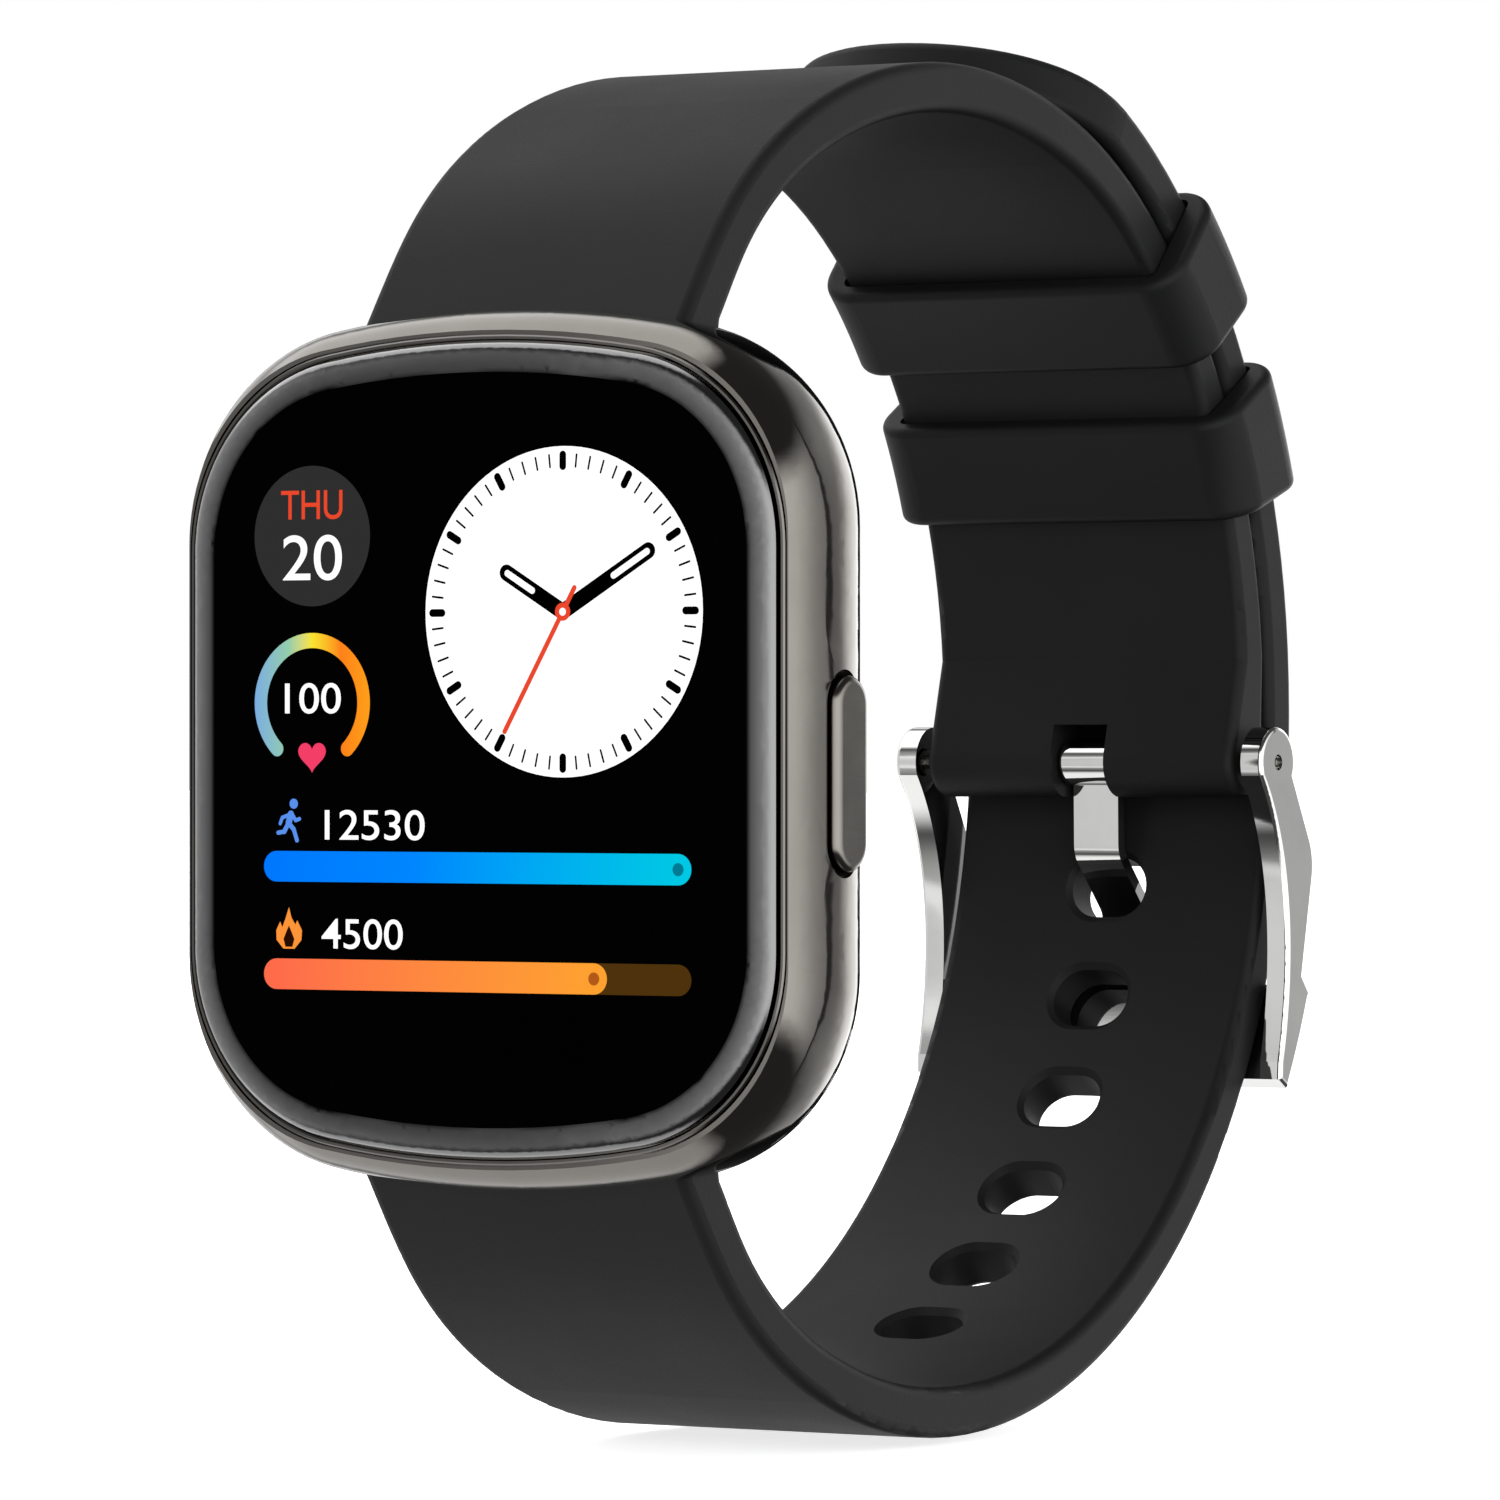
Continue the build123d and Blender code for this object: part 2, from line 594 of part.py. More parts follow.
def make_cover_gasket():
    """Seal between the back cover and its ledge in the case."""
    outer = RectangleRounded(2 * COVER_HALF_W - 0.2, 2 * COVER_HALF_H - 0.2, BACK_RECESS_CORNER - 0.2)
    inner = RectangleRounded(2 * CAVITY_HALF_W + 0.4, 2 * CAVITY_HALF_H + 0.4, CAVITY_CORNER)
    return front_slab(outer - inner, BACK_RECESS_FLOOR_Y + SKIN / 2, COVER_FRONT_Y - SKIN / 2)


def make_sensor_window():
    """Clear window over the light sensors; its back face is the origin."""
    window = y_cylinder(WINDOW_RADIUS, WINDOW_FRONT_Y, 0, 0, 0)
    return fillet(window.faces().sort_by(Axis.Y)[-1].edges(), WINDOW_ROUND)


def make_sensor_board():
    """Round board behind the window."""
    return y_cylinder(SENSOR_BAY_RADIUS - 0.3, SENSOR_FRONT_Y, SENSOR_FACE_Y, 0, 0)


def make_sensor_leds():
    """Two pairs of sensor lamps."""
    wide, tall = LED_HALF
    places = [(x * LED_PLACE[0], z * LED_PLACE[1]) for x in (-1, 1) for z in (-1, 1)]
    return [block(x - wide, x + wide, *SENSOR_CHIP_Y, z - tall, z + tall) for x, z in places]


def make_light_sensor():
    """Photodiode between the lamps."""
    half = PHOTODIODE_HALF
    return block(-half, half, *SENSOR_CHIP_Y, -half, half)


def make_charging_contacts():
    """Two pads for the charging cable."""
    pads = []
    for side in (-1, 1):
        depth = (MAGNET_FRONT_Y, COVER_BACK_Y + FIT)
        pad = y_cylinder(CONTACT_RADIUS, *depth, side * CONTACT_X, CONTACT_Z)
        pads.append(chamfer(pad.faces().sort_by(Axis.Y)[-1].edges(), 0.1))
    return pads


def make_charging_magnets():
    """Two magnets that hold the charging cable."""
    place = (MAGNET_RADIUS, MAGNET_FRONT_Y, MAGNET_BACK_Y)
    return [y_cylinder(*place, side * MAGNET_X, CONTACT_Z) for side in (-1, 1)]


def make_cover_screws():
    """Four cross-headed screws."""
    screws = []
    for x, z in screw_places():
        screw = y_cylinder(SCREW_RADIUS, SCREW_END_Y, SCREW_HEAD_BACK_Y, x, z)
        screw += y_cylinder(SCREW_HEAD_RADIUS, SCREW_HEAD_Y, SCREW_HEAD_BACK_Y, x, z)
        for turn in (0, 90):
            length, deep, wide = SCREW_CROSS
            screw -= Pos(x, SCREW_HEAD_BACK_Y, z) * Rot(0, turn, 0) * Box(length, deep, wide)
        screws.append(screw)
    return screws


def flare_edge(radius, middle_radius, root):
    """One face of the strap as it thickens towards the case, in side view."""
    start = polar(LOOP, radius, FLARE_ANGLE)
    middle = polar(LOOP, middle_radius, FLARE_MIDDLE_ANGLE)
    along = polar((0, 0), 1, FLARE_ANGLE + 90)
    return Spline(start, middle, root, tangents=(along, direction_vector(middle, root)))


def strap_root():
    """End of the strap at the top of the case: the flare and the knuckle round the lug bar."""
    inner = flare_edge(LOOP_RADIUS - STRAP_THICK / 2, FLARE_MIDDLE_RADII[0], ROOT_INNER)
    outer = flare_edge(LOOP_RADIUS + STRAP_THICK / 2, FLARE_MIDDLE_RADII[1], ROOT_OUTER)
    close = Line(ROOT_INNER, ROOT_OUTER)
    flare = make_face([Line(inner @ 0, outer @ 0), inner, outer, close])
    eye = Pos(LUG_BAR_Y, LUG_BAR_Z) * Circle(KNUCKLE_RADIUS)
    return flare + make_hull([close] + list(eye.edges()))


def knuckle_hull(bar, piece, angle):
    """Rounded end that carries a bar, drawn tight round the bar and the end of the strap."""
    centre, radius = piece[0], piece[1]
    inside = polar(centre, radius - STRAP_THICK / 2, angle)
    outside = polar(centre, radius + STRAP_THICK / 2, angle)
    eye = Pos(*bar) * Circle(KNUCKLE_RADIUS)
    return side_solid(make_hull([Line(inside, outside)] + list(eye.edges())), STRAP_HALF_W)


def round_sides(strap):
    """Round the long edges of a strap."""
    sides = strap.faces().filter_by(Axis.X)
    return fillet([edge for face in sides for edge in face.outer_wire().edges()], STRAP_EDGE)


def make_buckle_strap():
    """Short strap from the top of the case to the buckle."""
    chain = layer_chain(0, STACK_LOW_ANGLE, FLARE_ANGLE)
    strap = band(chain, STRAP_HALF_W) + side_solid(strap_root(), STRAP_HALF_W)
    strap += knuckle_hull(BUCKLE_BAR, chain[0], STACK_LOW_ANGLE)
    strap = round_sides(strap)
    strap -= x_cylinder(BAR_BORE, -12, 12, *BUCKLE_BAR)
    strap -= x_cylinder(BAR_BORE, -12, 12, LUG_BAR_Y, LUG_BAR_Z)
    cut = TONGUE_CUT_HALF_W
    return strap - block(-cut, cut, BUCKLE_BAR[0] - 4, BUCKLE_BAR[0] + 4, -4, TONGUE_CUT_TOP_Z)


def slot_cutter(angle):
    """Pill-shaped cutter through the strap at one angle, wider at both faces."""
    centre = polar(LOOP, LOOP_RADIUS, angle)
    frame = Plane(origin=(0, *centre), x_dir=(1, 0, 0), z_dir=(0, *polar((0, 0), 1, angle)))
    cutter = extrude(frame * SlotOverall(SLOT_WIDTH, SLOT_LENGTH), amount=STRAP_THICK, both=True)
    wide = SLOT_WIDTH + 2 * SLOT_BEVEL
    long = SLOT_LENGTH + 2 * SLOT_BEVEL
    for side in (-1, 1):
        start = side * (STRAP_THICK / 2 - SLOT_BEVEL)
        end = side * (STRAP_THICK / 2 + 0.1)
        narrow = frame.offset(start) * SlotOverall(SLOT_WIDTH, SLOT_LENGTH)
        mouth = frame.offset(end) * SlotOverall(wide + 0.2, long + 0.2)
        cutter += loft([narrow, mouth])
    return cutter


def tip_cutter():
    """What is taken off the free end to give it a round tip."""
    angle = BAND_END_ANGLE - TIP_ROUND_ANGLE
    centre = polar(LOOP, LOOP_RADIUS + LAYER_STEP, angle)
    frame = Plane(origin=(0, *centre), x_dir=(1, 0, 0), z_dir=(0, *polar((0, 0), 1, angle)))
    reach = 1.4 * STRAP_HALF_W
    tip = Pos(0, -reach / 2) * Rectangle(4 * reach, reach) - Circle(STRAP_HALF_W)
    return extrude(frame * tip, amount=3 * STRAP_THICK, both=True)


def make_hole_strap():
    """Long strap with its adjusting slots and free tip."""
    chain = hole_strap_chain()
    strap = band(chain, STRAP_HALF_W) + side_solid(mirror(strap_root(), Plane.XZ), STRAP_HALF_W)
    strap -= tip_cutter()
    strap = round_sides(strap)
    strap -= x_cylinder(BAR_BORE, -12, 12, LUG_BAR_Y, -LUG_BAR_Z)
    for number in range(SLOT_COUNT):
        strap -= slot_cutter(SLOT_FIRST_ANGLE - number * SLOT_PITCH_ANGLE)
    return strap


def make_keeper(low_angle):
    """Loop that holds the free end down, turned about the centre of the strap layers."""
    inner = STACK_RADIUS - STRAP_THICK / 2 - KEEPER_GAP
    outer = STACK_RADIUS + LAYER_STEP + STRAP_THICK / 2 + KEEPER_GAP
    half = STRAP_HALF_W + KEEPER_GAP
    middle = (inner + outer) / 2
    opening = RectangleRounded(2 * half, outer - inner, KEEPER_OPENING_CORNER)
    low = inner - KEEPER_WALL_IN
    high = outer + KEEPER_WALL_OUT
    body = RectangleRounded(2 * (half + KEEPER_WALL_SIDE), high - low, KEEPER_CORNER)
    ring = Pos(0, (low + high) / 2 - middle) * body - opening
    across = polar((0, 0), 1, low_angle)
    start = polar(STACK, middle, low_angle)
    frame = Plane(origin=(0, *start), x_dir=(1, 0, 0), z_dir=(0, across[1], -across[0]))
    pivot = Axis((0, *STACK), (1, 0, 0))
    keeper = revolve(frame * ring, axis=pivot, revolution_arc=KEEPER_SWEEP)
    flat = keeper.faces().filter_by(GeomType.PLANE)
    ends = [face for face in flat if abs(face.normal_at().X) < 0.5]
    edges = [edge for face in ends for edge in face.outer_wire().edges()]
    return fillet(edges, KEEPER_END_ROUND)


def arm_outline():
    """Side view of a buckle arm, from the knuckle round the bar to the foot of the bridge."""
    bar_y, bar_z = BUCKLE_BAR
    foot_in = polar(LOOP, BRIDGE_RADIUS_IN - 0.45, BRIDGE_LOW_ANGLE + 1.4)
    foot_out = polar(LOOP, BRIDGE_RADIUS_OUT, BRIDGE_LOW_ANGLE)
    step_out = polar(LOOP, BRIDGE_RADIUS_OUT, BRIDGE_TOP_ANGLE)
    step_in = polar(LOOP, BRIDGE_RADIUS_OUT - 1.1, BRIDGE_TOP_ANGLE + 0.9)
    front = Spline((bar_y - 1.85, bar_z - 0.75), (53.1, -5.4), (53.9, -9.0), foot_in)
    heel = Line(foot_in, polar(LOOP, BRIDGE_RADIUS_IN, BRIDGE_LOW_ANGLE))
    base = Line(heel @ 1, foot_out)
    rear = ThreePointArc(foot_out, polar(LOOP, BRIDGE_RADIUS_OUT, -26), step_out)
    step = Line(step_out, step_in)
    waist = Line(step_in, (57.0, -7.4))
    bulge = ThreePointArc((57.0, -7.4), (57.1, -6.4), (56.8, -5.2))
    slope = Line((56.8, -5.2), (bar_y + 1.85, bar_z - 0.75))
    cap = ThreePointArc((bar_y + 1.85, bar_z - 0.75), (bar_y, bar_z + 2.0), front @ 0)
    return make_face([front, heel, base, rear, step, waist, bulge, slope, cap])


def make_buckle_frame():
    """Two arms joined by the curved bridge that lies outside the strap."""
    arm = extrude(Plane.YZ * arm_outline(), amount=ARM_OUT_X)
    arm -= block(-1, ARM_IN_X, 40, 70, -40, 10)
    arm = fillet(arm.faces().filter_by(Axis.X).sort_by(Axis.X)[-1].edges(), 0.25)
    middle = (BRIDGE_RADIUS_IN + BRIDGE_RADIUS_OUT) / 2
    thick = BRIDGE_RADIUS_OUT - BRIDGE_RADIUS_IN
    plate = band([(LOOP, middle, BRIDGE_LOW_ANGLE, BRIDGE_TOP_ANGLE)], ARM_IN_X + 0.2, thick)
    frame = arm + mirror(arm, Plane.YZ) + plate
    for side in (-1, 1):
        hole = (side * (ARM_IN_X - 1), side * (ARM_OUT_X + 1))
        frame -= x_cylinder(PIN_HOLE_RADIUS, *hole, *BUCKLE_BAR)
    return frame


def make_buckle_tongue():
    """Tongue with an eye on the bar, bent through the strap and over the bridge."""
    eye = Pos(*BUCKLE_BAR) * Circle(TONGUE_EYE_RADIUS)
    start = (BUCKLE_BAR[0] + 0.6, BUCKLE_BAR[1] - 0.6)
    over = BRIDGE_RADIUS_OUT + TONGUE_THICK / 2 + 0.12
    rest = polar(LOOP, over, -20.0)
    tip = polar(LOOP, over, -26.5)
    path = Polyline(start, (53.5, -5.9), (56.7, -9.2), rest, tip)
    path = fillet(path.vertices()[1:-1], 1.3)
    arm = trace(path, TONGUE_THICK)
    tongue = side_solid(eye, TONGUE_HALF_W) + side_solid(arm, TONGUE_HALF_W)
    return tongue - x_cylinder(TONGUE_EYE_BORE, -3, 3, *BUCKLE_BAR)


def make_bar_tube(y, z):
    """Tube of a spring bar."""
    tube = x_cylinder(BAR_TUBE_RADIUS, -BAR_TUBE_HALF, BAR_TUBE_HALF, y, z)
    return tube - x_cylinder(BAR_TUBE_BORE, -BAR_TUBE_HALF - 1, BAR_TUBE_HALF + 1, y, z)


def make_bar_spring(y, z):
    """Coil spring inside a bar."""
    coil = Helix(BAR_SPRING_PITCH, 2 * BAR_SPRING_HALF, BAR_SPRING_RADIUS)
    wire = Plane(origin=coil @ 0, z_dir=coil % 0) * Circle(BAR_SPRING_WIRE)
    spring = sweep(wire, path=coil)
    return Pos(-BAR_SPRING_HALF, y, z) * Rot(0, 90, 0) * spring


def make_bar_pin(side, tip_end, y, z):
    """One sprung end of a bar: rod in the tube, collar and thin tip."""
    rod = x_cylinder(BAR_ROD_RADIUS, side * BAR_ROD_START_X, side * BAR_COLLAR_OUT_X, y, z)
    collar = x_cylinder(BAR_COLLAR_RADIUS, side * BAR_COLLAR_IN_X, side * BAR_COLLAR_OUT_X, y, z)
    tip = x_cylinder(BAR_TIP_RADIUS, side * (BAR_COLLAR_OUT_X - 0.2), side * tip_end, y, z)
    return rod + collar + tip


def bar_nodes(name, tip_end, y, z):
    """The four pieces of one spring bar."""
    return {
        name + "_bar_tube": make_bar_tube(y, z),
        name + "_bar_spring": make_bar_spring(y, z),
        name + "_bar_left_pin": make_bar_pin(-1, tip_end, y, z),
        name + "_bar_right_pin": make_bar_pin(1, tip_end, y, z),
    }


def all_nodes():
    """Every node by name."""
    nodes = {
        "case_frame": make_case_frame(),
        "trim_ring": make_trim_ring(),
        "cover_glass": make_cover_glass(),
        "glass_gasket": make_glass_gasket(),
        "display_panel": make_display_panel(),
        "chassis_plate": make_chassis_plate(),
        "battery_cell": make_battery_cell(),
        "main_board": make_main_board(),
        "shield_can": make_shield_can(),
        "board_chips": make_board_chips(),
        "display_flex": make_display_flex(),
        "motor_can": make_motor_can(),
        "motor_rotor": make_motor_rotor(),
        "side_button": make_side_button(),
        "button_seal": make_button_seal(),
        "button_clip": make_button_clip(),
        "side_switch": make_side_switch(),
        "back_cover": make_back_cover(),
        "cover_gasket": make_cover_gasket(),
        "sensor_window": make_sensor_window(),
        "sensor_board": make_sensor_board(),
        "sensor_leds": make_sensor_leds(),
        "light_sensor": make_light_sensor(),
        "charging_contacts": make_charging_contacts(),
        "charging_magnets": make_charging_magnets(),
        "cover_screws": make_cover_screws(),
        "buckle_strap": make_buckle_strap(),
        "hole_strap": make_hole_strap(),
        "lower_keeper": make_keeper(KEEPER_LOW_ANGLES[0]),
        "upper_keeper": make_keeper(KEEPER_LOW_ANGLES[1]),
        "buckle_frame": make_buckle_frame(),
        "buckle_tongue": make_buckle_tongue(),
    }
    nodes.update(bar_nodes("top", LUG_TIP_END, LUG_BAR_Y, LUG_BAR_Z))
    nodes.update(bar_nodes("bottom", LUG_TIP_END, LUG_BAR_Y, -LUG_BAR_Z))
    nodes.update(bar_nodes("buckle", BUCKLE_TIP_END, *BUCKLE_BAR))
    return nodes


os.makedirs("parts", exist_ok=True)
for node, shape in all_nodes().items():
    if isinstance(shape, list):
        shape = Compound(children=shape)
    export_step(shape, f"parts/{node}.step")
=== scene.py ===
import json
import math

import bpy
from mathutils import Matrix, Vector


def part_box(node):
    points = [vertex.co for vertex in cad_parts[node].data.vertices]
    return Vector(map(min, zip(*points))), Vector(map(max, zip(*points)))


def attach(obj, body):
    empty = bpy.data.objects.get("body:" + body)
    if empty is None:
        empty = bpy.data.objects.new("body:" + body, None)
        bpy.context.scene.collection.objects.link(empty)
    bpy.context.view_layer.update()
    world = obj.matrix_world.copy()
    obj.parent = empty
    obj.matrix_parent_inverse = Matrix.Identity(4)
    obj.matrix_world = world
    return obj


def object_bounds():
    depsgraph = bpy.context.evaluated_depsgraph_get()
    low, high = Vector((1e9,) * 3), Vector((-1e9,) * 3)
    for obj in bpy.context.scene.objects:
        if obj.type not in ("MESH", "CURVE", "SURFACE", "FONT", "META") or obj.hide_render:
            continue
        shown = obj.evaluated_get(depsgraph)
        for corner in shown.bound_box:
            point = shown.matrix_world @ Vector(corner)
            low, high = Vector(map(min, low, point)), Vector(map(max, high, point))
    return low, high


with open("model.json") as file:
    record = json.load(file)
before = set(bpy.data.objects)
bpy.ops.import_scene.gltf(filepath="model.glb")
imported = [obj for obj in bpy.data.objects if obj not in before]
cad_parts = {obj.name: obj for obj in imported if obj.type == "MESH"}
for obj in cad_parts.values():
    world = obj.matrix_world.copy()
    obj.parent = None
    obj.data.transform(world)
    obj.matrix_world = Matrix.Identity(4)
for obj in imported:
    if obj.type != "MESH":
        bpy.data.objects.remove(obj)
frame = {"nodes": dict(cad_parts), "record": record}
cad_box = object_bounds()

MM = 0.001


# ---------------------------------------------------------------- node helpers

class Nodes:
    """A material's node tree, with short names for the steps that the materials below repeat."""

    def __init__(self, name):
        self.material = bpy.data.materials.new(name)
        self.material.use_nodes = True
        self.tree = self.material.node_tree
        self.tree.nodes.clear()
        self.output = self.add("ShaderNodeOutputMaterial")
        self.coordinates = self.add("ShaderNodeTexCoord").outputs["Object"]

    def add(self, kind, inputs=None, **settings):
        """A node with its settings, and with values or other nodes' outputs for its inputs."""
        node = self.tree.nodes.new(kind)
        for key, value in settings.items():
            setattr(node, key, value)
        for key, value in (inputs or {}).items():
            self.feed(node.inputs[key], value)
        return node

    def feed(self, socket, value):
        if isinstance(value, bpy.types.NodeSocket):
            self.tree.links.new(value, socket)
        else:
            socket.default_value = value

    def shader(self, **inputs):
        """The Principled shader, joined to the output; _ stands for a space in an input's name."""
        node = self.add("ShaderNodeBsdfPrincipled")
        for key, value in inputs.items():
            self.feed(node.inputs[key.replace("_", " ")], value)
        self.tree.links.new(node.outputs["BSDF"], self.output.inputs["Surface"])
        return self.material

    def noise(self, scale, detail=3.0, roughness=0.5, stretch=(1, 1, 1)):
        place = self.add("ShaderNodeMapping", {"Vector": self.coordinates, "Scale": stretch})
        size = {"Vector": place.outputs[0], "Scale": scale, "Detail": detail,
                "Roughness": roughness}
        return self.add("ShaderNodeTexNoise", size).outputs["Fac"]

    def cells(self, scale):
        size = {"Vector": self.coordinates, "Scale": scale}
        return self.add("ShaderNodeTexVoronoi", size).outputs["Distance"]

    def spread(self, value, low, high, start=0.3, end=0.7):
        """value, from start to end, taken to low to high."""
        limits = {"Value": value, "From Min": start, "From Max": end, "To Min": low, "To Max": high}
        return self.add("ShaderNodeMapRange", limits).outputs["Result"]

    def ramp(self, value, *stops):
        """Colour blended through stops of (place, colour)."""
        node = self.add("ShaderNodeValToRGB", {"Fac": value})
        elements = node.color_ramp.elements
        while len(elements) < len(stops):
            elements.new(0.5)
        for element, (place, colour) in zip(elements, stops):
            element.position = place
            element.color = (*colour, 1)
        return node.outputs["Color"]

    def blend(self, texture, dark, light):
        """Colour from dark to light by a texture's middle values."""
        return self.ramp(self.spread(texture, 0, 1), (0.0, dark), (1.0, light))

    def bump(self, height, strength, depth, normal=None):
        inputs = {"Height": height, "Strength": strength, "Distance": depth}
        if normal is not None:
            inputs["Normal"] = normal
        return self.add("ShaderNodeBump", inputs).outputs["Normal"]

    def maths(self, operation, *values):
        node = self.add("ShaderNodeMath", operation=operation)
        for socket, value in zip(node.inputs, values):
            self.feed(socket, value)
        return node.outputs[0]


# ---------------------------------------------------------------- materials

def silicone(name, base, light, shine=0.52):
    """Moulded rubber: fine satin grain, faint cloudiness, softly worn sheen."""
    n = Nodes(name)
    cloud = n.noise(90, detail=4)
    grain = n.noise(9000, detail=2)
    pits = n.cells(5200)
    colour = n.blend(cloud, base, light)
    roughness = n.maths("ADD", n.spread(cloud, shine - 0.03, shine + 0.05),
                        n.spread(grain, -0.03, 0.03))
    fine = n.bump(grain, strength=0.25, depth=0.02 * MM)
    normal = n.bump(pits, strength=0.12, depth=0.03 * MM, normal=fine)
    return n.shader(Base_Color=colour, Roughness=roughness, Specular_IOR_Level=0.08, Normal=normal)


def polished_metal(name, dark, light, rough, grain=0.02, wear=0.04):
    """Polished, coated or plated metal with a breath of smear and hair-fine polishing lines."""
    n = Nodes(name)
    smear = n.noise(160, detail=5, roughness=0.6)
    lines = n.noise(2600, detail=3, roughness=0.6, stretch=(0.12, 0.12, 4.0))
    colour = n.blend(smear, dark, light)
    roughness = n.maths("ADD", n.spread(smear, rough, rough + wear), n.spread(lines, 0, grain))
    normal = n.bump(lines, strength=0.05, depth=0.01 * MM)
    return n.shader(Base_Color=colour, Metallic=1.0, Roughness=roughness, Normal=normal)


def turned_metal(name, dark, light, rough):
    """Turned or pressed steel with lines round X."""
    n = Nodes(name)
    lines = n.noise(4200, detail=2, stretch=(6.0, 0.2, 0.2))
    colour = n.blend(lines, dark, light)
    roughness = n.spread(lines, rough, rough + 0.12)
    normal = n.bump(lines, strength=0.15, depth=0.01 * MM)
    return n.shader(Base_Color=colour, Metallic=1.0, Roughness=roughness, Normal=normal)


def moulded(name, base, light, rough, scale=4200):
    """Matt moulded plastic with a sparked texture."""
    n = Nodes(name)
    pits = n.cells(scale)
    cloud = n.noise(120, detail=4)
    colour = n.blend(cloud, base, light)
    roughness = n.spread(cloud, rough - 0.04, rough + 0.06)
    normal = n.bump(pits, strength=0.25, depth=0.04 * MM)
    return n.shader(Base_Color=colour, Roughness=roughness, Normal=normal)


# How strongly the glass shines against the sine of its tilt from the flat front.
GLASS_SHINE = ((0.0, 0.0), (0.02, 0.03), (0.06, 0.48), (0.2, 0.85), (0.4, 1.0))


def black_glass():
    """Cover glass over black print. The coat on its flat front, which doesn't reflect, stops at
    the rolled edge."""
    n = Nodes("cover_glass")
    smear = n.noise(70, detail=5, roughness=0.6)
    colour = n.blend(smear, (0.0003, 0.0003, 0.0004), (0.0006, 0.0006, 0.0007))
    normal = n.add("ShaderNodeTexCoord").outputs["Normal"]
    front = n.add("ShaderNodeSeparateXYZ", {"Vector": normal}).outputs["Y"]
    tilt_squared = n.maths("SUBTRACT", 1.0, n.maths("MULTIPLY", front, front))
    tilt = n.maths("SQRT", n.maths("MAXIMUM", tilt_squared, 0.0))
    steps = [(place, (value, value, value)) for place, value in GLASS_SHINE]
    shine = n.ramp(tilt, *steps)
    return n.shader(Base_Color=colour, Roughness=n.spread(smear, 0.1, 0.13), IOR=1.55,
                    Coat_Weight=shine, Coat_Roughness=0.1, Specular_IOR_Level=shine)


def smoked_window():
    """Dark window over the sensors."""
    n = Nodes("sensor_window")
    smear = n.noise(110, detail=5, roughness=0.6)
    colour = n.blend(smear, (0.10, 0.10, 0.11), (0.13, 0.13, 0.14))
    return n.shader(Base_Color=colour, Roughness=n.spread(smear, 0.02, 0.06), IOR=1.5,
                    Transmission_Weight=0.9)


def black_panel():
    """Unlit display and black print behind the glass."""
    n = Nodes("display")
    fine = n.cells(12000)
    colour = n.blend(fine, (0.0004, 0.0004, 0.0005), (0.0009, 0.0009, 0.001))
    return n.shader(Base_Color=colour, Roughness=n.spread(fine, 0.45, 0.55), Specular_IOR_Level=0.1)


def circuit_board():
    """Solder mask with tracks showing through."""
    n = Nodes("circuit_board")
    size = {"Vector": n.coordinates, "Scale": 900.0, "Mortar Size": 0.06}
    tracks = n.add("ShaderNodeTexBrick", size).outputs["Fac"]
    colour = n.ramp(tracks, (0.0, (0.006, 0.05, 0.022)), (1.0, (0.02, 0.11, 0.05)))
    normal = n.bump(tracks, strength=0.3, depth=0.03 * MM)
    return n.shader(Base_Color=colour, Roughness=n.spread(n.noise(300), 0.25, 0.4), Normal=normal)


def foil():
    """Crinkled cell pouch."""
    n = Nodes("battery_foil")
    crinkle = n.noise(700, detail=5, roughness=0.65)
    colour = n.blend(crinkle, (0.5, 0.51, 0.53), (0.66, 0.67, 0.69))
    normal = n.bump(crinkle, strength=0.4, depth=0.1 * MM)
    return n.shader(Base_Color=colour, Metallic=1.0, Roughness=n.spread(crinkle, 0.25, 0.4),
                    Normal=normal)


def lamp_resin():
    """Clear lamp with its green die."""
    n = Nodes("lamp")
    die = n.cells(900)
    colour = n.blend(die, (0.1, 0.5, 0.12), (0.6, 0.75, 0.5))
    return n.shader(Base_Color=colour, Roughness=n.spread(die, 0.12, 0.2), Coat_Weight=0.5)


GUNMETAL_DARK = (0.125, 0.118, 0.108)
GUNMETAL_LIGHT = (0.14, 0.133, 0.122)
RING_DARK = (0.095, 0.09, 0.084)
RING_LIGHT = (0.11, 0.105, 0.098)
STEEL_DARK = (0.33, 0.32, 0.30)
STEEL_LIGHT = (0.42, 0.41, 0.39)
CHROME_DARK = (0.5, 0.5, 0.495)
CHROME_LIGHT = (0.57, 0.57, 0.56)
GOLD_DARK = (0.75, 0.5, 0.16)
GOLD_LIGHT = (0.85, 0.6, 0.22)
STRAP_DARK = (0.0078, 0.008, 0.0082)
STRAP_LIGHT = (0.01, 0.0102, 0.0105)
KEEPER_DARK = (0.0075, 0.0077, 0.0079)
KEEPER_LIGHT = (0.0097, 0.0099, 0.0102)

